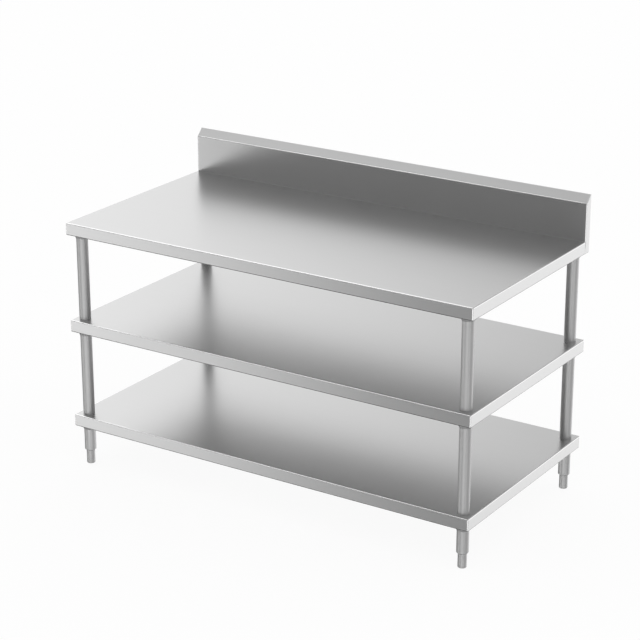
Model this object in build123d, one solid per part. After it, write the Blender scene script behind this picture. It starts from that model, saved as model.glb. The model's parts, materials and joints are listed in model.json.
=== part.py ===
from build123d import *
import math
import os

# Stainless work table with an upstand along its back and two fixed shelves.
# Every size is in millimetres. X runs along the front edge, Y from front to
# back and Z up; the origin is on the floor, under the middle of the worktop.

# Worktop
table_width = 1500.0
worktop_depth = 755.0
worktop_height = 850.0
worktop_sheet = 1.2

# Upstand along the back of the worktop
upstand_height = 150.0
upstand_depth = 27.0
upstand_slope = 45.0
upstand_turndown = 20.0
hem_radius = 1.3
cap_flange = 10.0

# Shelves
shelf_front_setback = 3.5
shelf_rear_setback = 1.5
middle_shelf_height = 515.0
lower_shelf_height = 180.0
shelf_sheet = 1.0

# Folded edges of the worktop and the shelves
apron_height = 41.0
fold_radius = 2.5
mitre_gap = 1.0

# Leg tubes
leg_diameter = 38.0
leg_wall = 1.2
leg_edge_gap = 16.0
leg_clearance = 0.2

# Conical sockets and collars that hold the legs
socket_mouth_wall = 3.8
socket_tip_wall = 1.2
socket_drop = 13.0
socket_cone = 8.0
socket_flange_thickness = 2.5
socket_lip_gap = 2.0
grub_diameter = 6.0
grub_length = 8.0
grub_hex = 3.0
grub_hex_depth = 3.0
grub_below_flange = 12.0
thread_clearance = 0.05

# Stiffeners and corner gussets under the sheets
gusset_length = 110.0
gusset_sheet = 2.0
weld_gap = 0.5
channel_sheet = 1.2
channel_depth = 28.0
channel_width = 50.0
channel_flange = 15.0
channel_radius = 2.0
channel_spacing = 360.0
rail_flange = 20.0

# Screw feet
foot_diameter = 28.0
foot_wall = 1.5
foot_projection = 47.5
foot_engagement = 28.0
foot_floor = 8.0
foot_edge_radius = 3.0
foot_running_clearance = 0.06
thread_pitch = 1.75
turns_in = 11
turns_out = 8
pad_land = 1.0
pad_thickness = 2.5
pad_proud = 0.5
pad_clearance = 0.3
pad_pin_diameter = 6.0
pad_pin_length = 3.0
stud_diameter = 12.0
stud_seat = 2.0
stud_spare = 4.0
nut_across_flats = 18.0
nut_height = 10.0
insert_rim = 1.5
insert_edge = 0.6
insert_clearance = 0.1
insert_web = 3.0
insert_end_gap = 1.0

# Sizes that follow from the ones above
half_width = table_width / 2
worktop_front = -worktop_depth / 2
worktop_rear = worktop_depth / 2
worktop_underside = worktop_height - worktop_sheet
worktop_bottom = worktop_height - apron_height
upstand_front = worktop_rear - upstand_depth
upstand_top = worktop_height + upstand_height
slope = math.radians(upstand_slope)
hem_centre = upstand_top - hem_radius
upstand_crest = hem_centre + hem_radius * (math.tan(slope) + 1 / math.cos(slope))
upstand_shoulder = upstand_crest - upstand_depth * math.tan(slope)
shelf_front = worktop_front + shelf_front_setback
shelf_rear = worktop_rear - shelf_rear_setback

leg_radius = leg_diameter / 2
leg_inset = leg_radius + leg_edge_gap
leg_x = half_width - leg_inset
leg_y = {"front": shelf_front + leg_inset, "rear": shelf_rear - leg_inset}
leg_top = worktop_underside - gusset_sheet
bore_radius = leg_radius + leg_clearance
mouth_radius = bore_radius + socket_mouth_wall
lip_width = leg_inset - mouth_radius - socket_lip_gap
edge_inset = fold_radius + weld_gap
channel_total = channel_width + 2 * channel_flange

foot_radius = foot_diameter / 2
foot_rise = thread_pitch * turns_in
foot_drop = thread_pitch * turns_out
foot_top = foot_projection + foot_engagement
foot_bore = foot_radius + foot_running_clearance
stud_radius = stud_diameter / 2
pad_radius = foot_radius - foot_edge_radius - pad_land
pad_pin_top = pad_thickness + pad_pin_length
insert_chamfer = leg_radius - foot_bore - insert_edge
leg_bottom = foot_projection + insert_chamfer + insert_rim
nut_bottom = foot_top + foot_rise + insert_end_gap + insert_web
nut_top = nut_bottom + nut_height
stud_bottom = pad_proud + foot_floor + stud_seat
stud_top = nut_top + foot_drop + stud_spare

sides = {"left": -1, "right": 1}
corners = {f"{end}_{side}": (sides[side] * leg_x, leg_y[end])
           for end in ("front", "rear") for side in ("left", "right")}


def block(x_low, x_high, y_low, y_high, z_low, z_high, radius=0.0):
    """Box between two corners, with every edge rounded when a radius is given."""
    centre = Pos((x_low + x_high) / 2, (y_low + y_high) / 2, (z_low + z_high) / 2)
    box = centre * Box(x_high - x_low, y_high - y_low, z_high - z_low)
    return fillet(box.edges(), radius) if radius > 0 else box


def rod(radius, z_low, z_high, x=0.0, y=0.0):
    """Upright cylinder between two heights."""
    return Pos(x, y, (z_low + z_high) / 2) * Cylinder(radius, z_high - z_low)


def hexagon_bar(across_flats, z_low, z_high):
    """Upright hexagonal prism between two heights."""
    hexagon = RegularPolygon(across_flats / 2, 6, major_radius=False)
    return Pos(0, 0, z_low) * extrude(hexagon, z_high - z_low)


def inner_radius(outer_radius, sheet):
    """Inside radius of a fold, for a given outside radius."""
    return max(outer_radius - sheet, 0.1)


def folded_section(points, radii, sheet):
    """Cross-section of a folded sheet whose outer face follows the points."""
    path = FilletPolyline(*points, radius=radii)
    return make_face(offset(path, amount=sheet, side=Side.RIGHT, closed=True))


def along_x(section, x_low, x_high):
    """Section drawn in Y and Z, run along X."""
    plane = Plane(origin=(x_low, 0, 0), x_dir=(0, 1, 0), z_dir=(1, 0, 0))
    return extrude(plane * section, x_high - x_low)


def along_y(section, y_low, y_high):
    """Section drawn in X and Z, run along Y."""
    plane = Plane(origin=(0, y_high, 0), x_dir=(1, 0, 0), z_dir=(0, -1, 0))
    return extrude(plane * section, y_high - y_low)


def folded_tray(y_front, y_rear, top, sheet):
    """Deck with four aprons folded down and their lips turned back under it."""
    bottom = top - apron_height
    outside = block(-half_width, half_width, y_front, y_rear, bottom, top, fold_radius)
    inside = block(-half_width + sheet, half_width - sheet, y_front + sheet, y_rear - sheet,
                   bottom + sheet, top - sheet, inner_radius(fold_radius, sheet))
    mouth = block(-half_width + lip_width, half_width - lip_width, y_front + lip_width,
                  y_rear - lip_width, bottom - sheet, bottom + 2 * sheet)
    tray = outside - inside - mouth
    slit_start = fold_radius + weld_gap
    slit_end = lip_width + 2 * mitre_gap
    slit_length = (slit_end - slit_start) * math.sqrt(2)
    slit_centre = (slit_start + slit_end) / 2
    for x_sign in (-1, 1):
        for y_edge, y_sign in ((y_front, -1), (y_rear, 1)):
            slit = Box(slit_length, mitre_gap, 4 * sheet)
            turned = Rot(0, 0, 45 * x_sign * y_sign) * slit
            tray -= Pos(x_sign * (half_width - slit_centre),
                        y_edge - y_sign * slit_centre, bottom) * turned
    return tray


def long_worktop_tray():
    """Worktop tray run on past the back, for the pieces that are cut from it."""
    run_on = 4 * lip_width
    return folded_tray(worktop_front, worktop_rear + run_on, worktop_height, worktop_sheet)


def upstand_section():
    """Upstand fold line: deck, vertical face, sloping top and turned-down hem."""
    bend = inner_radius(fold_radius, worktop_sheet)
    points = [(upstand_front - upstand_depth, worktop_height),
              (upstand_front, worktop_height),
              (upstand_front, upstand_shoulder),
              (worktop_rear, upstand_crest),
              (worktop_rear, upstand_top - upstand_turndown)]
    return folded_section(points, [bend, fold_radius, hem_radius], worktop_sheet)


def worktop():
    """Worktop folded from one sheet, with its upstand; the end caps close its ends."""
    behind = block(-table_width, table_width, upstand_front, worktop_depth,
                   worktop_bottom - fold_radius, worktop_height + fold_radius)
    upstand = along_x(upstand_section(), -half_width + cap_flange, half_width - cap_flange)
    return long_worktop_tray() - behind + upstand


def cap_wedge(sheet, run_on, x_low, x_high, radius):
    """Upright wedge that follows the upstand, with its outer front edges rounded.

    The sheet draws its front in, and the run-on takes it past its back and its foot.
    """
    front = upstand_front + sheet
    shoulder = upstand_shoulder - sheet * math.tan((math.pi / 2 - slope) / 2)
    rear = worktop_rear + run_on
    crest = shoulder + (rear - front) * math.tan(slope)
    foot = worktop_underside - run_on
    outline = FilletPolyline((front, foot), (front, shoulder), (rear, crest), (rear, foot),
                             radius=[0, 0, hem_radius, 0], close=True)
    wedge = along_x(make_face(outline), x_low, x_high)
    rim = wedge.faces().sort_by(Axis.X)[-1].edges().filter_by(GeomType.LINE)
    front_edges = [rim.sort_by(Axis.Y)[0], rim.sort_by(Axis.Z)[-1]]
    return fillet(front_edges, radius)


def upstand_cap(side):
    """Folded cap that closes one end of the upstand, down to the bottom of the apron."""
    inner_face = half_width - worktop_sheet
    outer = cap_wedge(0, 0, half_width - cap_flange, half_width, fold_radius)
    hollow = cap_wedge(worktop_sheet, upstand_depth, half_width - 2 * cap_flange, inner_face,
                       inner_radius(fold_radius, worktop_sheet))
    seam = worktop_bottom + 2 * fold_radius
    plate = block(inner_face, half_width, upstand_front, worktop_rear, seam, worktop_underside)
    edge_space = block(inner_face, half_width, upstand_front, worktop_rear, worktop_bottom, seam)
    lip_space = block(half_width - lip_width, half_width, upstand_front,
                      worktop_rear - lip_width, worktop_bottom, seam)
    folded_edge = long_worktop_tray() & (edge_space + lip_space)
    cap = outer - hollow + plate + folded_edge
    return cap if side == "right" else mirror(cap, about=Plane.YZ)


def rear_rail():
    """Folded rail that closes the back of the worktop below the upstand."""
    points = [(upstand_front - rail_flange, worktop_underside),
              (worktop_rear, worktop_underside),
              (worktop_rear, worktop_bottom),
              (worktop_rear - lip_width, worktop_bottom)]
    section = folded_section(points, fold_radius, worktop_sheet)
    length = half_width - worktop_sheet
    rail = along_x(section, -length, length)
    notch_start = half_width - edge_inset - gusset_length - weld_gap
    for sign in (-1, 1):
        ends = sorted((sign * notch_start, sign * half_width))
        rail -= block(*ends, worktop_front, worktop_rear - fold_radius,
                      worktop_underside - gusset_sheet - weld_gap, worktop_height)
    return rail


def hat_section(top):
    """Hat channel: two flanges against the sheet above and a box below them."""
    inside = inner_radius(channel_radius, channel_sheet)
    depth = channel_depth - channel_sheet
    web = channel_width / 2
    flange = channel_total / 2
    points = [(-flange, top), (-web, top), (-web, top - depth),
              (web, top - depth), (web, top), (flange, top)]
    return folded_section(points, [channel_radius, inside, inside, channel_radius],
                          channel_sheet)


def lengthwise_channel(y, top, half_length):
    """Hat channel that runs from left to right."""
    return Pos(0, y, 0) * along_x(hat_section(top), -half_length, half_length)


def gusset(corner):
    """Corner plate that spreads the load of a leg into the worktop."""
    end, side = corner.split("_")
    sign = sides[side]
    x_ends = sorted((sign * (half_width - edge_inset),
                     sign * (half_width - edge_inset - gusset_length)))
    if end == "front":
        y_low = worktop_front + edge_inset
    else:
        y_low = worktop_rear - edge_inset - gusset_length
    return block(*x_ends, y_low, y_low + gusset_length, leg_top, worktop_underside)


def cross_channel(side):
    """Hat channel that joins the front and rear gussets at one end of the worktop."""
    centre = sides[side] * (half_width - edge_inset - gusset_length / 2)
    reach = edge_inset + gusset_length
    channel = along_y(hat_section(worktop_underside), worktop_front + reach, worktop_rear - reach)
    return Pos(centre, 0, 0) * channel


def socket(corner, top, apron_bottom):
    """Conical socket round a leg, with its flange against the sheet above it."""
    x, y = corners[corner]
    flange_radius = leg_inset - edge_inset
    flange_bottom = top - socket_flange_thickness
    tip = apron_bottom - socket_drop
    outline = Polyline((bore_radius, top), (flange_radius, top), (flange_radius, flange_bottom),
                       (mouth_radius, flange_bottom), (mouth_radius, tip + socket_cone),
                       (bore_radius + socket_tip_wall, tip), (bore_radius, tip), close=True)
    turned = revolve(Plane.XZ * make_face(outline), Axis.Z)
    screw_hole = grub_axis(corner, top) * rod(grub_diameter / 2 + thread_clearance, 0, leg_inset)
    return Pos(x, y, 0) * turned - screw_hole


def grub_axis(corner, top):
    """Axis of a grub screw: from the leg's centre towards the middle of the table."""
    x, y = corners[corner]
    tilt = -90 if x > 0 else 90
    return Pos(x, y, top - socket_flange_thickness - grub_below_flange) * Rot(0, tilt, 0)


def grub_screw(corner, top):
    """Grub screw that clamps a socket on its leg, with a hexagon recess outside."""
    body = rod(grub_diameter / 2, leg_radius, leg_radius + grub_length)
    recess = hexagon_bar(grub_hex, leg_radius + grub_length - grub_hex_depth,
                         leg_radius + grub_length + grub_hex_depth)
    return grub_axis(corner, top) * (body - recess)


def shelf(top):
    """Shelf tray with a hole for each leg."""
    tray = folded_tray(shelf_front, shelf_rear, top, shelf_sheet)
    for x, y in corners.values():
        tray -= rod(bore_radius, top - 2 * shelf_sheet - fold_radius, top + fold_radius, x, y)
    return tray


def leg(corner):
    """Leg tube from the foot insert up to the gusset, straight through both shelves."""
    x, y = corners[corner]
    tube = rod(leg_radius, leg_bottom, leg_top, x, y)
    return tube - rod(leg_radius - leg_wall, leg_bottom, leg_top, x, y)


def foot_insert(corner):
    """Plug in the end of a leg: chamfered head, foot bore and a pocket for the nut."""
    x, y = corners[corner]
    spigot = leg_radius - leg_wall - insert_clearance
    bottom_radius = foot_bore + insert_edge
    bore_top = nut_bottom - insert_web
    web_bore = stud_radius + insert_end_gap
    outline = Polyline((foot_bore, foot_projection), (bottom_radius, foot_projection),
                       (leg_radius, foot_projection + insert_chamfer), (leg_radius, leg_bottom),
                       (spigot, leg_bottom), (spigot, nut_top), (web_bore, nut_top),
                       (web_bore, bore_top), (foot_bore, bore_top), close=True)
    turned = revolve(Plane.XZ * make_face(outline), Axis.Z)
    pocket = hexagon_bar(nut_across_flats + 2 * insert_clearance, nut_bottom, nut_top + nut_height)
    return Pos(x, y, 0) * (turned - pocket)


def foot_nut(corner):
    """Hexagon nut that carries the foot's stud inside the insert."""
    x, y = corners[corner]
    bar = hexagon_bar(nut_across_flats, nut_bottom, nut_top)
    return Pos(x, y, 0) * (bar - rod(stud_radius + thread_clearance, nut_bottom, nut_top))


def foot_shell(corner):
    """Closed sleeve of a foot, rounded at its lower edge and recessed for the pad."""
    x, y = corners[corner]
    sleeve = rod(foot_radius, pad_proud, foot_top)
    sleeve = fillet(sleeve.edges().sort_by(Axis.Z)[0], foot_edge_radius)
    cavity = rod(foot_radius - foot_wall, pad_proud + foot_floor, foot_top)
    recess = rod(pad_radius + pad_clearance, 0, pad_thickness)
    pin_hole = rod(pad_pin_diameter / 2 + foot_running_clearance, 0, pad_pin_top + pad_clearance)
    return Pos(x, y, 0) * (sleeve - cavity - recess - pin_hole)


def foot_core(corner):
    """Moulded core that holds the stud in the middle of the foot's sleeve."""
    x, y = corners[corner]
    core = rod(foot_radius - foot_wall, pad_proud + foot_floor, foot_top)
    return Pos(x, y, 0) * (core - rod(stud_radius, stud_bottom, foot_top))


def foot_stud(corner):
    """Threaded stud of a foot, drawn plain at its outer diameter."""
    x, y = corners[corner]
    return rod(stud_radius, stud_bottom, stud_top, x, y)


def foot_pad(corner):
    """Glide that stands on the floor; its pin lets the foot turn above it."""
    x, y = corners[corner]
    disc = rod(pad_radius, 0, pad_thickness)
    pin = rod(pad_pin_diameter / 2, pad_thickness / 2, pad_pin_top)
    return Pos(x, y, 0) * (disc + pin)


def worktop_parts():
    """The worktop and everything that is welded or clamped under it."""
    parts = {"worktop": worktop(), "rear_rail": rear_rail()}
    cross_centre = half_width - edge_inset - gusset_length / 2
    between = cross_centre - channel_total / 2
    for name, sign in (("front", -1), ("rear", 1)):
        parts[f"worktop_channel_{name}"] = lengthwise_channel(
            sign * channel_spacing / 2, worktop_underside, between)
    for side in sides:
        parts[f"upstand_cap_{side}"] = upstand_cap(side)
        parts[f"worktop_cross_channel_{side}"] = cross_channel(side)
    for corner in corners:
        parts[f"gusset_{corner}"] = gusset(corner)
        parts[f"worktop_socket_{corner}"] = socket(corner, leg_top, worktop_bottom)
    parts["worktop_grub_screws"] = [grub_screw(corner, leg_top) for corner in corners]
    return parts


def shelf_parts(name, top):
    """One shelf, its stiffener and its collars."""
    underside = top - shelf_sheet
    middle = (shelf_front + shelf_rear) / 2
    parts = {name: shelf(top),
             f"{name}_channel": lengthwise_channel(middle, underside, half_width - edge_inset)}
    for corner in corners:
        parts[f"{name}_collar_{corner}"] = socket(corner, underside, top - apron_height)
    parts[f"{name}_grub_screws"] = [grub_screw(corner, underside) for corner in corners]
    return parts


def leg_parts():
    """The four legs and their screw feet."""
    parts = {}
    pieces = {"leg": leg, "foot_insert": foot_insert, "foot_shell": foot_shell,
              "foot_core": foot_core, "foot_stud": foot_stud, "foot_pad": foot_pad}
    for corner in corners:
        for name, make in pieces.items():
            parts[f"{name}_{corner}"] = make(corner)
    parts["foot_nuts"] = [foot_nut(corner) for corner in corners]
    return parts


def main():
    os.makedirs("parts", exist_ok=True)
    parts = worktop_parts()
    parts.update(shelf_parts("middle_shelf", middle_shelf_height))
    parts.update(shelf_parts("lower_shelf", lower_shelf_height))
    parts.update(leg_parts())
    for name, piece in parts.items():
        solid = Compound(children=piece) if isinstance(piece, list) else piece
        export_step(solid, os.path.join("parts", f"{name}.step"))
    print(len(parts), "parts written")


if __name__ == "__main__":
    main()
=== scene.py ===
import json
import math

import bmesh
import bpy
from bmesh.types import BMEdge, BMFace, BMVert
from mathutils import Matrix, Vector


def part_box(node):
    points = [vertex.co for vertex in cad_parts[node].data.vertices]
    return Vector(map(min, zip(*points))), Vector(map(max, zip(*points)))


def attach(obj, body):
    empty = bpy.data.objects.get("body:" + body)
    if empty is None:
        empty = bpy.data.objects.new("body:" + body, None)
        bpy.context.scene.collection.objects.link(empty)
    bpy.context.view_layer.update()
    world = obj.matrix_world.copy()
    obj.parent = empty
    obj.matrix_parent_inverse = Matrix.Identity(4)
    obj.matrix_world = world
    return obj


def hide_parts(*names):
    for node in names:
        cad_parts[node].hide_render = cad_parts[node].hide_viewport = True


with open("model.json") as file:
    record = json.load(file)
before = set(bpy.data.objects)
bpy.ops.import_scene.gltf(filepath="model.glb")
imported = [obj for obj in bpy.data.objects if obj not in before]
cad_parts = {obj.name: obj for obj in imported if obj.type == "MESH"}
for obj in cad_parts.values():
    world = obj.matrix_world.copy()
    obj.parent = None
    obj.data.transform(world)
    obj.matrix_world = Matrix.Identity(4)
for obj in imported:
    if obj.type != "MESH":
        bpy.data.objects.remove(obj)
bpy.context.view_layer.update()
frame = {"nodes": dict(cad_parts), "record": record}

# Stainless work table with an upstand and two shelves: the folded sheets and the
# turned parts are made again with round folds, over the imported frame.
# Metres; X runs along the front edge, Y from front to back, Z up from the floor.

nodes = frame["nodes"]
bodyOfNode = {node: body for body, members in frame["record"]["behaviour"]["bodies"].items()
              for node in members}
corners = ("front_left", "front_right", "rear_left", "rear_right")
lengthways = Vector((1, 0, 0))
rearwards = Vector((0, 1, 0))
upwards = Vector((0, 0, 1))
samePlace = 1e-6    # points nearer than this count as one
cutSnap = 1e-7      # a cut takes points nearer than this as on it


def near(first, second):
    return abs(first - second) < samePlace


def once(items):
    # Each item a single time, in the order in which it comes.
    return list(dict.fromkeys(items))


def pieceName(words):
    first, *others = words.split("_")
    return first + "".join(word.capitalize() for word in others)


def middleOf(node):
    low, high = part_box(node)
    return (low + high) / 2


def addNode(tree, kind, **settings):
    node = tree.nodes.new(kind)
    for name, value in settings.items():
        setattr(node, name, value)
    return node


def feed(tree, value, socket):
    if isinstance(value, (int, float)):
        socket.default_value = value
    else:
        tree.links.new(value, socket)


def addMath(tree, operation, *values):
    node = addNode(tree, "ShaderNodeMath", operation=operation)
    for value, socket in zip(values, node.inputs):
        feed(tree, value, socket)
    return node.outputs[0]


def addMix(tree, factor, first, second, kind="FLOAT"):
    # The node has an A, a B and a result of its own for each kind of value.
    a, b, result = {"FLOAT": (2, 3, 0), "VECTOR": (4, 5, 1)}[kind]
    node = addNode(tree, "ShaderNodeMix", data_type=kind)
    for value, socket in ((factor, "Factor"), (first, a), (second, b)):
        feed(tree, value, node.inputs[socket])
    return node.outputs[result]


def vary(tree, level, masks):
    # Each mask moves the level a little each way.
    for mask, amount in masks:
        level = addMath(tree, "ADD", addMath(tree, "MULTIPLY", mask, amount), level)
    return level


def newGroup(name, inputs, outputs):
    group = bpy.data.node_groups.new(name, "ShaderNodeTree")
    for label, kind, value in inputs:
        socket = group.interface.new_socket(label, in_out="INPUT", socket_type=kind)
        if value is not None:
            socket.default_value = value
    for label in outputs:
        group.interface.new_socket(label, in_out="OUTPUT", socket_type="NodeSocketFloat")
    return group, group.nodes.new("NodeGroupInput"), group.nodes.new("NodeGroupOutput")


def stretch(group, given, density):
    # Position times a density for each direction, which draws a noise out into lines.
    stretched = addNode(group, "ShaderNodeVectorMath", operation="MULTIPLY")
    group.links.new(given.outputs["Vector"], stretched.inputs[0])
    group.links.new(given.outputs[density], stretched.inputs[1])
    return stretched.outputs[0]


def makeGrainGroup():
    # Fine parallel scratches: noise drawn out along the grain, in two widths.
    group, given, result = newGroup("satinGrain", [
        ("Vector", "NodeSocketVector", None),
        ("Scratches Per Metre", "NodeSocketVector", (2.0, 900.0, 900.0)),
        ("Bands Per Metre", "NodeSocketVector", (0.8, 70.0, 70.0))], ["Scratches", "Bands"])
    for label, detail in (("Scratches", 2.0), ("Bands", 3.0)):
        noise = addNode(group, "ShaderNodeTexNoise")
        noise.inputs["Scale"].default_value = 1.0
        noise.inputs["Detail"].default_value = detail
        group.links.new(stretch(group, given, f"{label} Per Metre"), noise.inputs["Vector"])
        group.links.new(addMath(group, "SUBTRACT", noise.outputs["Fac"], 0.5), result.inputs[label])
    return group


def makeWipeGroup():
    # Wide soft marks from wiping down and handling.
    group, given, result = newGroup("wipeMarks", [
        ("Vector", "NodeSocketVector", None),
        ("Marks Per Metre", "NodeSocketFloat", 5.0),
        ("Along", "NodeSocketVector", (0.45, 1.0, 1.0))], ["Marks"])
    noise = addNode(group, "ShaderNodeTexNoise")
    noise.inputs["Detail"].default_value = 4.0
    noise.inputs["Roughness"].default_value = 0.55
    noise.inputs["Distortion"].default_value = 0.6
    group.links.new(stretch(group, given, "Along"), noise.inputs["Vector"])
    group.links.new(given.outputs["Marks Per Metre"], noise.inputs["Scale"])
    spread = addNode(group, "ShaderNodeMapRange", interpolation_type="SMOOTHSTEP")
    spread.inputs["From Min"].default_value = 0.35
    spread.inputs["From Max"].default_value = 0.65
    spread.inputs["To Min"].default_value = -0.5
    spread.inputs["To Max"].default_value = 0.5
    group.links.new(noise.outputs["Fac"], spread.inputs["Value"])
    group.links.new(spread.outputs["Result"], result.inputs["Marks"])
    return group


grainGroup = makeGrainGroup()
wipeGroup = makeWipeGroup()


def useGroup(tree, group, vector, values):
    node = addNode(tree, "ShaderNodeGroup", node_tree=group)
    tree.links.new(vector, node.inputs["Vector"])
    for label, value in values.items():
        node.inputs[label].default_value = value
    return node


endFacing = 0.71    # a face belongs to an end apron when its normal points this much along X


def sheetVector(tree):
    # Position on the steel, with the grain turned down the end aprons as the fold turns it.
    place = addNode(tree, "ShaderNodeTexCoord")
    apart = addNode(tree, "ShaderNodeSeparateXYZ")
    tree.links.new(place.outputs["Object"], apart.inputs[0])
    turned = addNode(tree, "ShaderNodeCombineXYZ")
    for source, target in (("Z", "X"), ("Y", "Y"), ("X", "Z")):
        tree.links.new(apart.outputs[source], turned.inputs[target])
    facing = addNode(tree, "ShaderNodeSeparateXYZ")
    tree.links.new(place.outputs["Normal"], facing.inputs[0])
    alongX = addMath(tree, "ABSOLUTE", facing.outputs["X"])
    onEnd = addMath(tree, "GREATER_THAN", alongX, endFacing)
    return addMix(tree, onEnd, place.outputs["Object"], turned.outputs[0], "VECTOR")


def objectVector(tree):
    return addNode(tree, "ShaderNodeTexCoord").outputs["Object"]


def newMaterial(name):
    material = bpy.data.materials.new(name)
    material.use_nodes = True
    return material, material.node_tree


def paint(tree, shader, look, tones, roughs):
    # The masks move the colour and the roughness a little each way.
    colour = addNode(tree, "ShaderNodeVectorMath", operation="SCALE")
    colour.inputs[0].default_value = look["colour"]
    tree.links.new(vary(tree, 1.0, tones), colour.inputs["Scale"])
    tree.links.new(colour.outputs[0], shader.inputs["Base Color"])
    tree.links.new(vary(tree, look["roughness"], roughs), shader.inputs["Roughness"])


scratchDepth = 0.0002


def makeSteel(name, look, vectorFrom=objectVector):
    material, tree = newMaterial(name)
    steel = tree.nodes["Principled BSDF"]
    steel.inputs["Metallic"].default_value = 1.0
    vector = vectorFrom(tree)
    grain = useGroup(tree, grainGroup, vector, {"Scratches Per Metre": look["scratches"],
                                                "Bands Per Metre": look["bands"]}).outputs
    marks = useGroup(tree, wipeGroup, vector, {"Marks Per Metre": look["marks"]}).outputs["Marks"]
    paint(tree, steel, look, ((grain["Bands"], look["bandTone"]), (marks, look["markTone"])),
          ((grain["Scratches"], look["scratchRough"]), (marks, look["markRough"])))
    bump = addNode(tree, "ShaderNodeBump")
    bump.inputs["Strength"].default_value = look["bump"]
    bump.inputs["Distance"].default_value = scratchDepth
    tree.links.new(grain["Scratches"], bump.inputs["Height"])
    tree.links.new(bump.outputs[0], steel.inputs["Normal"])
    return material


def makeNylon(name, look):
    material, tree = newMaterial(name)
    marks = useGroup(tree, wipeGroup, objectVector(tree),
                     {"Marks Per Metre": look["marks"], "Along": (1.0, 1.0, 1.0)}).outputs["Marks"]
    paint(tree, tree.nodes["Principled BSDF"], look, ((marks, look["markTone"]),),
          ((marks, look["markRough"]),))
    return material


# Scratches and bands are given per metre along X, Y and Z.
lengthGrain = {"scratches": (4.0, 1100.0, 1100.0), "bands": (0.9, 90.0, 90.0)}
roundGrain = {"scratches": (60.0, 60.0, 1400.0), "bands": (6.0, 6.0, 160.0)}
evenGrain = {"scratches": (700.0, 700.0, 700.0), "bands": (60.0, 60.0, 60.0)}

worktopLook = dict(lengthGrain, colour=(0.61, 0.61, 0.61), roughness=0.30, marks=4.0, bump=0.03,
                   bandTone=0.02, markTone=0.004, scratchRough=0.05, markRough=0.006)
# Painted highlight: the upper folds get a brighter colour than the flat steel, so that they show as
# bright lines.
foldHighlightLook = dict(worktopLook, colour=(0.90, 0.90, 0.90), roughness=0.22, bandTone=0.015)
# Painted shade: the folds along the bottom get a darker colour than the flat steel, so that they show as
# dark lines.
lowerFoldShadeLook = dict(worktopLook, colour=(0.36, 0.36, 0.36), roughness=0.20, bandTone=0.015)
stiffenerLook = dict(worktopLook, colour=(0.56, 0.56, 0.56), roughness=0.36, markTone=0.02)
socketLook = dict(roundGrain, colour=(0.57, 0.57, 0.57), roughness=0.36, marks=30.0, bump=0.05,
                  bandTone=0.04, markTone=0.03, scratchRough=0.08, markRough=0.03)
legLook = dict(roundGrain, colour=(0.55, 0.55, 0.55), roughness=0.48, marks=7.0, bump=0.015,
               bandTone=0.008, markTone=0.004, scratchRough=0.03, markRough=0.006)
footLook = dict(legLook, marks=25.0)
screwLook = dict(evenGrain, colour=(0.55, 0.55, 0.555), roughness=0.30, marks=60.0, bump=0.03,
                 bandTone=0.06, markTone=0.05, scratchRough=0.06, markRough=0.05)
coreLook = dict(colour=(0.045, 0.045, 0.047), roughness=0.50, marks=40.0, markTone=0.12, markRough=0.08)
padLook = dict(colour=(0.10, 0.10, 0.105), roughness=0.55, marks=50.0, markTone=0.15, markRough=0.08)

worktopSteel = makeSteel("worktopSteel", worktopLook, sheetVector)
shelfSteel = makeSteel("shelfSteel", worktopLook, sheetVector)
foldHighlightSteel = makeSteel("foldHighlightSteel", foldHighlightLook, sheetVector)
lowerFoldShadeSteel = makeSteel("lowerFoldShadeSteel", lowerFoldShadeLook, sheetVector)
stiffenerSteel = makeSteel("stiffenerSteel", stiffenerLook, sheetVector)
socketSteel = makeSteel("socketSteel", socketLook)
legSteel = makeSteel("legSteel", legLook)
footSteel = makeSteel("footSteel", footLook)
screwSteel = makeSteel("screwSteel", screwLook)
coreNylon = makeNylon("coreNylon", coreLook)
padNylon = makeNylon("padNylon", padLook)
print("materials made")


# A sheet has its first material on the flats, the second on the upper folds, which are painted
# brighter as a highlight, and the third on the folds along the bottom, which are painted dark as shade.
folding = {"segments": 8, "bottomReach": 1.01}    # the reach is in fold radii above the bottom
flat, upperFoldHighlight, bottomFoldShade = 0, 1, 2


def ofKind(kind, items):
    return [item for item in items if isinstance(item, kind)]


def edgesWhere(bm, test):
    return [edge for edge in bm.edges if all(test(vert.co) for vert in edge.verts)]


def flatSheet(low, high):
    bm = bmesh.new()
    bmesh.ops.create_grid(bm, x_segments=1, y_segments=1, size=0.5)
    bmesh.ops.scale(bm, verts=bm.verts, vec=(high.x - low.x, high.y - low.y, 1))
    bmesh.ops.translate(bm, verts=bm.verts, vec=(low + high) / 2)
    return bm


def cutAcross(bm, place, normal):
    bmesh.ops.bisect_plane(bm, geom=bm.verts[:] + bm.edges[:] + bm.faces[:], dist=cutSnap,
                           plane_co=place, plane_no=normal)


def runSheet(bm, edges, move):
    # Pulls the sheet on in a straight line, and hands back its new end.
    made = bmesh.ops.extrude_edge_only(bm, edges=edges)["geom"]
    bmesh.ops.translate(bm, verts=ofKind(BMVert, made), vec=move)
    for face in ofKind(BMFace, made):
        face.material_index = flat
    return ofKind(BMEdge, made)


def spinOn(bm, geom, centre, degrees):
    made = bmesh.ops.spin(bm, geom=geom, cent=centre, axis=lengthways, dvec=(0, 0, 0),
                          angle=math.radians(degrees), steps=folding["segments"], use_merge=False,
                          use_normal_flip=False, use_duplicate=False)
    return made["geom_last"]


def turnSheet(bm, edges, centre, degrees, look=upperFoldHighlight):
    # Folds the sheet round a lengthways line, and hands back its new end.
    before = set(bm.faces)
    end = ofKind(BMEdge, spinOn(bm, edges, centre, degrees))
    for face in bm.faces:
        if face not in before:
            face.material_index = look
    return end


def drawOn(bm, vert, move):
    made = bmesh.ops.extrude_vert_indiv(bm, verts=[vert])
    made["verts"][0].co += move
    return made["verts"][0]


def drawArc(bm, vert, centre, degrees):
    return ofKind(BMVert, spinOn(bm, [vert], centre, degrees))[0]


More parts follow.
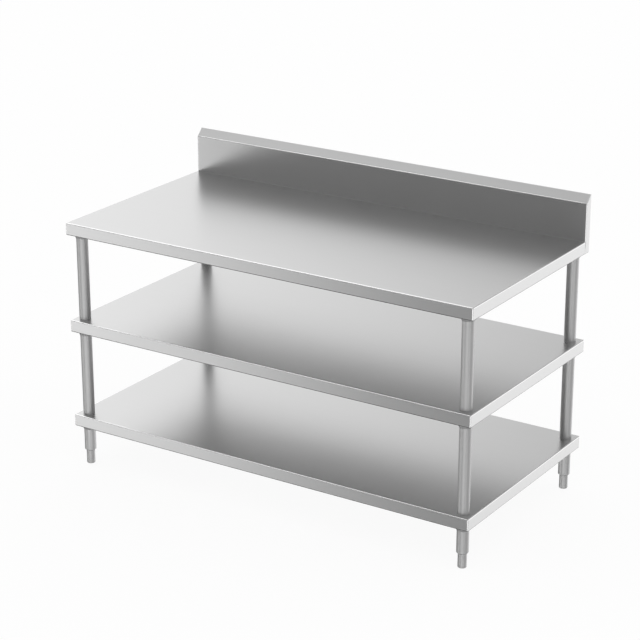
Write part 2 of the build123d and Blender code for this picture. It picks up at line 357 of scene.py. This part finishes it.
def drawLine(bm, points, closed=False):
    line = [bm.verts.new(point) for point in points]
    for first, second in zip(line, line[1:] + (line[:1] if closed else [])):
        bm.edges.new((first, second))
    return line


def roundCorner(bm, vert, radius, segments):
    bmesh.ops.bevel(bm, geom=[vert], offset=radius, offset_type="OFFSET", segments=segments,
                    profile=0.5, affect="VERTICES", material=-1, clamp_overlap=False)


def roundFolds(bm, edges, radius, bottom):
    made = bmesh.ops.bevel(bm, geom=edges, offset=radius, offset_type="OFFSET",
                           segments=folding["segments"], profile=0.5, affect="EDGES",
                           material=-1, clamp_overlap=False)
    for face in made["faces"]:
        height = max(vert.co.z for vert in face.verts) - bottom
        # Folds well above the bottom take the painted highlight, those along the bottom the painted
        # shade.
        face.material_index = upperFoldHighlight if height > radius * folding["bottomReach"] else bottomFoldShade


def giveThickness(bm, sheet, outward):
    # The sheet is drawn on its outer face, so its thickness goes inwards.
    bmesh.ops.remove_doubles(bm, verts=bm.verts, dist=samePlace)
    bmesh.ops.recalc_face_normals(bm, faces=bm.faces)
    broadest = max(bm.faces, key=lambda face: abs(face.normal.dot(outward)) * face.calc_area())
    if broadest.normal.dot(outward) < 0:
        bmesh.ops.reverse_faces(bm, faces=bm.faces)
    bmesh.ops.solidify(bm, geom=bm.faces[:], thickness=sheet)


sharpAngle = 38.0    # degrees between faces from which an edge stays sharp


def finishPiece(name, bm, node, slot, *materials):
    mesh = bpy.data.meshes.new(name)
    bm.to_mesh(mesh)
    bm.free()
    mesh.shade_smooth()
    mesh.set_sharp_from_angle(angle=math.radians(sharpAngle))
    for material in materials:
        mesh.materials.append(material)
    piece = bpy.data.objects.new(name, mesh)
    bpy.context.scene.collection.objects.link(piece)
    even = piece.modifiers.new("evenShading", "WEIGHTED_NORMAL")
    even.keep_sharp = True
    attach(piece, bodyOfNode[node])
    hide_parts(node)


def foldTray(bm, low, high, tray):
    # Deck already in place at the top: aprons down its sides, then the return lips.
    sides = [(lambda co: near(co.x, low.x), lengthways),      # a side, and the way in from it
             (lambda co: near(co.x, high.x), -lengthways),
             (lambda co: near(co.y, low.y), rearwards)]
    if tray["closedBack"]:
        sides.append((lambda co: near(co.y, high.y), -rearwards))
    foldLines = [edge for onSide, inwards in sides for edge in edgesWhere(bm, onSide)]
    runSheet(bm, foldLines, -upwards * tray["apron"])
    foldLines += [edge for edge in bm.edges    # the uprights where two aprons meet
                  if not near(edge.verts[0].co.z, edge.verts[1].co.z)
                  and all(sum(onSide(vert.co) for onSide, inwards in sides) == 2
                          for vert in edge.verts)]
    bottom = high.z - tray["apron"]
    centre = (low + high) / 2
    for onSide, inwards in sides:
        lower = edgesWhere(bm, lambda co: onSide(co) and near(co.z, bottom))
        foldLines += lower
        lip = runSheet(bm, lower, inwards * tray["lip"])
        along = Vector((abs(inwards.y), abs(inwards.x), 0))
        for vert in once(vert for edge in lip for vert in edge.verts):
            # The lip's ends are mitred, but for those at an open back.
            offset = (vert.co - centre).dot(along)
            atEnd = near(abs(offset), (high - centre).dot(along))
            if atEnd and (tray["closedBack"] or along.x or offset < 0):
                vert.co -= along * math.copysign(tray["lip"] + tray["mitre"], offset)
    roundFolds(bm, foldLines, tray["foldRadius"], bottom)


worktopTray = {"sheet": 0.0012, "apron": 0.041, "lip": 0.010, "mitre": 0.0008,
               "foldRadius": 0.0035, "closedBack": False}
upstand = {"depth": 0.027, "slope": 45.0, "turnDown": 0.020, "cornerRadius": 0.0002,
           "hemRadius": 0.0013, "foldRadius": 0.0045, "capFlange": 0.010, "deckHeight": 0.850}


def upstandSection():
    # The places along the upstand's rounded section, from the frame's box.
    low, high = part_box("worktop")
    front, rear = high.y - upstand["depth"], high.y
    slope = math.radians(upstand["slope"])
    shoulderRun = upstand["foldRadius"] * math.tan(slope / 2)
    crestRun = upstand["hemRadius"] * math.tan((math.pi - slope) / 2)
    crest = high.z - upstand["hemRadius"] * (1 - math.tan(slope) - 1 / math.cos(slope))
    shoulderStart = crest - upstand["depth"] * math.tan(slope) - shoulderRun
    hemHeight = crest - crestRun
    sloping = upstand["depth"] / math.cos(slope) - shoulderRun - crestRun
    return {"front": front, "rear": rear, "shoulderStart": shoulderStart, "hemHeight": hemHeight,
            "shoulderCentre": (0, front + upstand["foldRadius"], shoulderStart),
            "hemCentre": (0, rear - upstand["hemRadius"], hemHeight),
            "crestEnd": rear - crestRun * math.cos(slope),
            "uphill": Vector((0, math.cos(slope), math.sin(slope))) * sloping}


section = upstandSection()


def makeWorktop():
    low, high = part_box("worktop")
    front, deck, bend = section["front"], upstand["deckHeight"], upstand["cornerRadius"]
    inner = high.x - upstand["capFlange"]
    deckLow, deckHigh = Vector((low.x, low.y, deck)), Vector((high.x, front, deck))
    bm = flatSheet(deckLow, deckHigh)
    foldTray(bm, deckLow, deckHigh, worktopTray)
    # Cut only once it is folded, as points part way along a fold pinch its rounding.
    cutAcross(bm, (inner, 0, 0), lengthways)
    cutAcross(bm, (-inner, 0, 0), lengthways)
    cutAcross(bm, (0, front - bend, 0), rearwards)

    # The deck's rear edge folds up into the upstand between the end caps' flanges.
    def betweenCaps(co):
        return near(co.z, deck) and abs(co.x) < inner + samePlace

    strip = [face for face in bm.faces
             if all(betweenCaps(vert.co) and vert.co.y > front - bend - samePlace
                    for vert in face.verts)]
    bmesh.ops.delete(bm, geom=strip, context="FACES")
    end = edgesWhere(bm, lambda co: betweenCaps(co) and near(co.y, front - bend))
    end = turnSheet(bm, end, (0, front - bend, deck + bend), 90, look=flat)
    end = runSheet(bm, end, upwards * (section["shoulderStart"] - deck - bend))
    end = turnSheet(bm, end, section["shoulderCentre"], -upstand["slope"])
    end = runSheet(bm, end, section["uphill"])
    end = turnSheet(bm, end, section["hemCentre"], upstand["slope"] - 180)
    runSheet(bm, end, -upwards * (section["hemHeight"] - high.z + upstand["turnDown"]))
    giveThickness(bm, worktopTray["sheet"], upwards)
    finishPiece("worktopSheet", bm, "worktop", "worktop_steel",
                worktopSteel, foldHighlightSteel, lowerFoldShadeSteel)


makeWorktop()
print("worktop folded")


endCap = {"sheet": 0.0012, "flange": 0.010, "foldRadius": 0.0024, "lip": 0.010,
          "railGap": 0.0108, "bottom": 0.809, "flangeFoot": 0.8488}


def makeEndCap(node, outer, inwards):
    # The upstand's section drawn as a flat plate, with a flange round it and a lip at its foot.
    bm = bmesh.new()
    first = bm.verts.new((outer, section["front"], endCap["bottom"]))
    pen = drawOn(bm, first, upwards * (endCap["flangeFoot"] - endCap["bottom"]))
    pen = drawOn(bm, pen, upwards * (section["shoulderStart"] - endCap["flangeFoot"]))
    pen = drawArc(bm, pen, section["shoulderCentre"], -upstand["slope"])
    pen = drawOn(bm, pen, section["uphill"])
    pen = drawArc(bm, pen, section["hemCentre"], upstand["slope"] - 180)
    pen = drawOn(bm, pen, -upwards * (section["hemHeight"] - endCap["bottom"]))
    bm.edges.new((pen, first))
    bmesh.ops.contextual_create(bm, geom=bm.edges[:])
    flangeLine = edgesWhere(bm, lambda co: co.z > endCap["flangeFoot"] - samePlace
                            and co.y < section["crestEnd"] + samePlace)
    foot = edgesWhere(bm, lambda co: near(co.z, endCap["bottom"]))
    runSheet(bm, flangeLine, inwards * endCap["flange"])
    for edge in runSheet(bm, foot, inwards * endCap["lip"]):
        for vert in edge.verts:
            vert.co.y = min(vert.co.y, section["rear"] - endCap["railGap"])
    roundFolds(bm, flangeLine + foot, endCap["foldRadius"], endCap["bottom"])
    giveThickness(bm, endCap["sheet"], -inwards)
    finishPiece(pieceName(node), bm, node, "worktop_steel",
                worktopSteel, foldHighlightSteel, lowerFoldShadeSteel)


makeEndCap("upstand_cap_left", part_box("upstand_cap_left")[0].x, lengthways)
makeEndCap("upstand_cap_right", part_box("upstand_cap_right")[1].x, -lengthways)
print("end caps folded")


def foldedStrip(points, radii, sheet, run, outward):
    # Section of a folded sheet, rounded at its corners and pulled out along a straight run.
    bm = bmesh.new()
    for vert, radius in zip(drawLine(bm, points)[1:-1], radii):
        roundCorner(bm, vert, radius, folding["segments"])
    runSheet(bm, bm.edges[:], run)
    giveThickness(bm, sheet, outward)
    return bm


rearRail = {"sheet": 0.0012, "foldRadius": 0.0025, "lip": 0.010, "notchStart": 0.6365,
            "notchDepth": 0.0025, "notchRear": 0.375}


def makeRearRail():
    low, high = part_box("rear_rail")
    points = [(low.x, low.y, high.z), (low.x, high.y, high.z), (low.x, high.y, low.z),
              (low.x, high.y - rearRail["lip"], low.z)]
    bm = foldedStrip(points, [rearRail["foldRadius"]] * 2, rearRail["sheet"],
                     lengthways * (high.x - low.x), rearwards)
    # The top flange stops short of the corner gussets.
    cutAcross(bm, (-rearRail["notchStart"], 0, 0), lengthways)
    cutAcross(bm, (rearRail["notchStart"], 0, 0), lengthways)
    cutAcross(bm, (0, rearRail["notchRear"], 0), rearwards)
    notch = []
    for face in bm.faces:
        middle = face.calc_center_median()
        if (abs(middle.x) > rearRail["notchStart"] and middle.y < rearRail["notchRear"]
                and middle.z > high.z - rearRail["notchDepth"]):
            notch.append(face)
    bmesh.ops.delete(bm, geom=notch, context="FACES")
    openEdges = [edge for edge in bm.edges if edge.is_boundary]
    bmesh.ops.holes_fill(bm, edges=openEdges, sides=0)
    finishPiece("rearRail", bm, "rear_rail", "worktop_steel", worktopSteel)


makeRearRail()
print("rear rail folded")


channel = {"sheet": 0.0012, "flange": 0.015, "outerRadius": 0.002, "innerRadius": 0.0008}


def makeChannel(name, node, along, across):
    # Hat channel: two flanges against the sheet above and a box below them.
    low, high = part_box(node)
    run = along * (high - low).dot(along)
    start = middleOf(node) - run / 2
    half = abs((high - low).dot(across)) / 2
    web = half - channel["flange"]
    base = low.z + channel["sheet"]
    points = [Vector((start.x, start.y, height)) + across * offset for offset, height in
              ((-half, high.z), (-web, high.z), (-web, base), (web, base), (web, high.z), (half, high.z))]
    radii = [channel[corner] for corner in ("outerRadius", "innerRadius", "innerRadius", "outerRadius")]
    bm = foldedStrip(points, radii, channel["sheet"], run, upwards)
    finishPiece(name, bm, node, "stiffener_steel", stiffenerSteel)


for name, node in (("worktopStiffenerFront", "worktop_channel_front"),
                   ("worktopStiffenerRear", "worktop_channel_rear"),
                   ("middleShelfStiffener", "middle_shelf_channel"),
                   ("lowerShelfStiffener", "lower_shelf_channel")):
    makeChannel(name, node, lengthways, rearwards)
for name, node in (("crossStiffenerLeft", "worktop_cross_channel_left"),
                   ("crossStiffenerRight", "worktop_cross_channel_right")):
    makeChannel(name, node, rearwards, -lengthways)
print("channels folded")


shelfTray = {"sheet": 0.001, "apron": 0.041, "lip": 0.010, "mitre": 0.0008, "foldRadius": 0.0035,
             "closedBack": True, "legHole": 0.0192, "holeSegments": 72, "margin": 0.006}


def makeShelf(node):
    low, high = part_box(node)
    deckLow = Vector((low.x, low.y, high.z))
    bm = flatSheet(deckLow, high)
    bmesh.ops.inset_region(bm, faces=bm.faces[:], thickness=shelfTray["margin"])
    inside = max(bm.faces, key=lambda face: face.calc_area())
    rim = list(inside.edges)
    bmesh.ops.delete(bm, geom=[inside], context="FACES_ONLY")
    for corner in corners:
        leg = middleOf(f"leg_{corner}")
        made = bmesh.ops.create_circle(bm, cap_ends=False, radius=shelfTray["legHole"],
                                       segments=shelfTray["holeSegments"],
                                       matrix=Matrix.Translation((leg.x, leg.y, high.z)))
        rim += once(edge for vert in made["verts"] for edge in vert.link_edges)
    bmesh.ops.triangle_fill(bm, use_beauty=True, use_dissolve=False, edges=rim, normal=upwards)
    foldTray(bm, deckLow, high, shelfTray)
    giveThickness(bm, shelfTray["sheet"], upwards)
    finishPiece(pieceName(node), bm, node, "shelf_steel", shelfSteel, foldHighlightSteel, lowerFoldShadeSteel)


makeShelf("middle_shelf")
makeShelf("lower_shelf")
print("shelves folded")


# An edge rounding has so many segments for each metre of its radius, and at least edgeSegments.
turning = {"segments": 96, "edgeSegments": 3, "segmentsPerMetre": 3000}


def turnPiece(name, node, outline, slot, material):
    # Outline of radius, height and edge rounding, turned once round the node's upright axis.
    centre = middleOf(node)
    bm = bmesh.new()
    ring = drawLine(bm, [(centre.x + radius, centre.y, height) for radius, height, rounding in outline],
                    closed=True)
    for vert, (radius, height, rounding) in zip(ring, outline):
        if rounding:
            segments = round(rounding * turning["segmentsPerMetre"])
            roundCorner(bm, vert, rounding, max(turning["edgeSegments"], segments))
    bmesh.ops.spin(bm, geom=bm.verts[:] + bm.edges[:], cent=(centre.x, centre.y, 0), axis=upwards,
                   dvec=(0, 0, 0), angle=2 * math.pi, steps=turning["segments"], use_merge=True,
                   use_normal_flip=False, use_duplicate=False)
    bmesh.ops.remove_doubles(bm, verts=bm.verts, dist=samePlace)
    loose = [edge for edge in bm.edges if edge.is_wire]
    bmesh.ops.delete(bm, geom=loose, context="EDGES")
    bmesh.ops.recalc_face_normals(bm, faces=bm.faces)
    finishPiece(name, bm, node, slot, material)


legTube = {"radius": 0.019, "wall": 0.0012}


def makeLeg(corner):
    node = f"leg_{corner}"
    low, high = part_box(node)
    outer, inner = legTube["radius"], legTube["radius"] - legTube["wall"]
    outline = [(outer, low.z, 0), (outer, high.z, 0), (inner, high.z, 0), (inner, low.z, 0)]
    turnPiece(pieceName(f"leg_tube_{corner}"), node, outline, "leg_steel", legSteel)


legPlug = {"bore": 0.01406, "bottom": 0.01466, "radius": 0.019, "spigot": 0.0177, "web": 0.003,
           "webHole": 0.007, "nutRoom": 0.0115, "edge": 0.0002, "shoulderEdge": 0.0003}


def makePlug(corner):
    node = f"foot_insert_{corner}"
    low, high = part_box(node)
    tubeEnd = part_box(f"leg_{corner}")[0].z
    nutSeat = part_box("foot_nuts")[0].z
    boreTop = nutSeat - legPlug["web"]
    shoulder = low.z + legPlug["radius"] - legPlug["bottom"]
    outline = [(legPlug["bore"], low.z, 0),
               (legPlug["bottom"], low.z, legPlug["edge"]),
               (legPlug["radius"], shoulder, legPlug["shoulderEdge"]),
               (legPlug["radius"], tubeEnd, legPlug["edge"]),
               (legPlug["spigot"], tubeEnd, 0),
               (legPlug["spigot"], high.z, 0),
               (legPlug["nutRoom"], high.z, 0),
               (legPlug["nutRoom"], nutSeat, 0),
               (legPlug["webHole"], nutSeat, 0),
               (legPlug["webHole"], boreTop, 0),
               (legPlug["bore"], boreTop, 0)]
    turnPiece(pieceName(f"leg_plug_{corner}"), node, outline, "foot_steel", footSteel)


footSleeve = {"radius": 0.014, "wall": 0.0015, "floor": 0.008, "lowerEdge": 0.003,
              "upperEdge": 0.0002, "padHole": 0.0103, "padDepth": 0.0025, "pinHole": 0.00306,
              "pinTop": 0.0058}


def makeSleeve(corner):
    node = f"foot_shell_{corner}"
    low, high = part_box(node)
    inner = footSleeve["radius"] - footSleeve["wall"]
    floorTop = low.z + footSleeve["floor"]
    outline = [(footSleeve["pinHole"], footSleeve["padDepth"], 0),
               (footSleeve["padHole"], footSleeve["padDepth"], 0),
               (footSleeve["padHole"], low.z, 0),
               (footSleeve["radius"], low.z, footSleeve["lowerEdge"]),
               (footSleeve["radius"], high.z, footSleeve["upperEdge"]),
               (inner, high.z, 0),
               (inner, floorTop, 0),
               (0.0, floorTop, 0),
               (0.0, footSleeve["pinTop"], 0),
               (footSleeve["pinHole"], footSleeve["pinTop"], 0)]
    turnPiece(pieceName(f"foot_sleeve_{corner}"), node, outline, "foot_steel", footSteel)


legSocket = {"bore": 0.0192, "mouth": 0.0230, "tip": 0.0204, "flange": 0.0025, "cone": 0.008,
             "upperEdge": 0.0002, "neck": 0.0008, "edge": 0.0004}


def makeSocket(node):
    low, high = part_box(node)
    rim = (high.x - low.x) / 2
    lower = high.z - legSocket["flange"]
    outline = [(legSocket["bore"], high.z, 0),
               (rim, high.z, legSocket["upperEdge"]),
               (rim, lower, legSocket["edge"]),
               (legSocket["mouth"], lower, legSocket["neck"]),
               (legSocket["mouth"], low.z + legSocket["cone"], legSocket["edge"]),
               (legSocket["tip"], low.z, legSocket["edge"]),
               (legSocket["bore"], low.z, 0)]
    turnPiece(pieceName(node), node, outline, "socket_steel", socketSteel)


for corner in corners:
    makeLeg(corner)
    makePlug(corner)
    makeSleeve(corner)
    for level in ("worktop_socket", "middle_shelf_collar", "lower_shelf_collar"):
        makeSocket(f"{level}_{corner}")
print("legs, sockets and feet turned")


keptMaterials = {"gusset": stiffenerSteel, "grub_screws": screwSteel, "foot_nuts": screwSteel,
                 "foot_stud": screwSteel, "foot_core": coreNylon, "foot_pad": padNylon}
for word, material in keptMaterials.items():
    for name, node in nodes.items():
        if word in name:
            node.data.materials.clear()
            node.data.materials.append(material)
print("frame pieces given their materials")


def reflectedRay(tree):
    # 1 for what is seen in the steel, 0 for what is seen straight.
    path = addNode(tree, "ShaderNodeLightPath")
    return addMath(tree, "MAXIMUM", path.outputs["Is Glossy Ray"], path.outputs["Is Transmission Ray"])


def addShaderMix(tree, factor, first, second):
    node = addNode(tree, "ShaderNodeMixShader")
    feed(tree, factor, node.inputs["Fac"])
    tree.links.new(first, node.inputs[1])
    tree.links.new(second, node.inputs[2])
    return node.outputs[0]


floor = {"size": 60.0, "colour": (0.94, 0.94, 0.94), "ownLight": 0.92}


def makeFloor():
    bm = bmesh.new()
    bmesh.ops.create_grid(bm, x_segments=1, y_segments=1, size=floor["size"] / 2)
    mesh = bpy.data.meshes.new("studioFloor")
    bm.to_mesh(mesh)
    bm.free()
    material, tree = newMaterial("paleFloor")
    tree.nodes.remove(tree.nodes["Principled BSDF"])
    matt = addNode(tree, "ShaderNodeBsdfDiffuse")
    matt.inputs["Color"].default_value = (*floor["colour"], 1)
    white = addNode(tree, "ShaderNodeEmission")
    pale = addShaderMix(tree, floor["ownLight"], matt.outputs[0], white.outputs[0])
    # The steel sees the pale surround below the horizon too, and from below the floor is
    # clear, so that the underside of the table shows.
    fromBelow = addNode(tree, "ShaderNodeNewGeometry").outputs["Backfacing"]
    unseen = addMath(tree, "MAXIMUM", reflectedRay(tree), fromBelow)
    clear = addNode(tree, "ShaderNodeBsdfTransparent")
    shown = addShaderMix(tree, unseen, pale, clear.outputs[0])
    tree.links.new(shown, tree.nodes["Material Output"].inputs["Surface"])
    mesh.materials.append(material)
    stage = bpy.data.objects.new("studioFloor", mesh)
    bpy.context.scene.collection.objects.link(stage)


makeFloor()


# What the steel reflects: a pale studio with soft windows, and with grey screens where
# the strength is below zero. The turn is from the front to the right, in degrees; a window
# is full up to the first angle from its middle and fades out by the second.
surround = {"plain": 0.45, "diffuse": 0.95, "windows": [
    {"turn": -118, "height": 22, "full": 0, "edge": 46, "strength": 0.95},
    {"turn": -32, "height": 20, "full": 6, "edge": 32, "strength": -0.30},
    {"turn": -47, "height": -20, "full": 10, "edge": 14, "strength": 1.25},
    {"turn": -21, "height": -20, "full": 9, "edge": 15, "strength": -0.60},
    {"turn": 12, "height": -20, "full": 8, "edge": 26, "strength": 0.95},
    {"turn": 61, "height": -18, "full": 5, "edge": 12, "strength": 1.25},
    {"turn": 157, "height": -12, "full": 10, "edge": 34, "strength": 0.85},
    {"turn": -115, "height": -22, "full": 14, "edge": 40, "strength": -0.40},
    {"turn": -46, "height": 41, "full": 5, "edge": 15, "strength": 1.30},
    {"turn": -105, "height": 58, "full": 6, "edge": 22, "strength": 0.50},
    {"turn": -50, "height": 56, "full": 10, "edge": 45, "strength": 0.14},
    {"turn": 80, "height": 36, "full": 12, "edge": 30, "strength": 0.30},
    {"turn": 0, "height": -90, "full": 30, "edge": 68, "strength": -0.15}]}


def makeWorld():
    world = bpy.data.worlds.new("studioSurround")
    bpy.context.scene.world = world
    world.use_nodes = True
    world.cycles.sampling_method = "NONE"
    tree = world.node_tree
    facing = addNode(tree, "ShaderNodeTexCoord").outputs["Generated"]
    level = surround["plain"]
    for window in surround["windows"]:
        turn, height = math.radians(window["turn"]), math.radians(window["height"])
        towards = addNode(tree, "ShaderNodeVectorMath", operation="DOT_PRODUCT")
        towards.inputs[1].default_value = (math.sin(turn) * math.cos(height),
                                           -math.cos(turn) * math.cos(height), math.sin(height))
        tree.links.new(facing, towards.inputs[0])
        soft = addNode(tree, "ShaderNodeMapRange", interpolation_type="SMOOTHSTEP")
        soft.inputs["From Min"].default_value = math.cos(math.radians(window["edge"]))
        soft.inputs["From Max"].default_value = math.cos(math.radians(window["full"]))
        soft.inputs["To Max"].default_value = window["strength"]
        tree.links.new(towards.outputs["Value"], soft.inputs["Value"])
        level = addMath(tree, "ADD", level, soft.outputs["Result"])
    level = addMath(tree, "MAXIMUM", level, 0.0)
    lit = addMix(tree, reflectedRay(tree), surround["diffuse"], level)
    straight = addNode(tree, "ShaderNodeLightPath").outputs["Is Camera Ray"]
    light = tree.nodes["Background"]
    light.inputs["Color"].default_value = (1, 1, 1, 1)
    tree.links.new(addMix(tree, straight, lit, 1.0), light.inputs["Strength"])


makeWorld()


camera = {"place": (3.3926, -5.2786, 2.8525), "turn": 32.8445, "tilt": 20.1623, "lens": 116.107,
          "sensor": 36.0}


def makeCamera():
    lensData = bpy.data.cameras.new("camera")
    lensData.lens = camera["lens"]
    lensData.sensor_width = camera["sensor"]
    lensData.sensor_fit = "HORIZONTAL"
    viewer = bpy.data.objects.new("camera", lensData)
    viewer.location = camera["place"]
    viewer.rotation_euler = (math.radians(90 - camera["tilt"]), 0, math.radians(camera["turn"]))
    bpy.context.scene.collection.objects.link(viewer)
    bpy.context.scene.camera = viewer


makeCamera()
bpy.context.scene.view_settings.view_transform = "Standard"
print("floor, light and camera set")
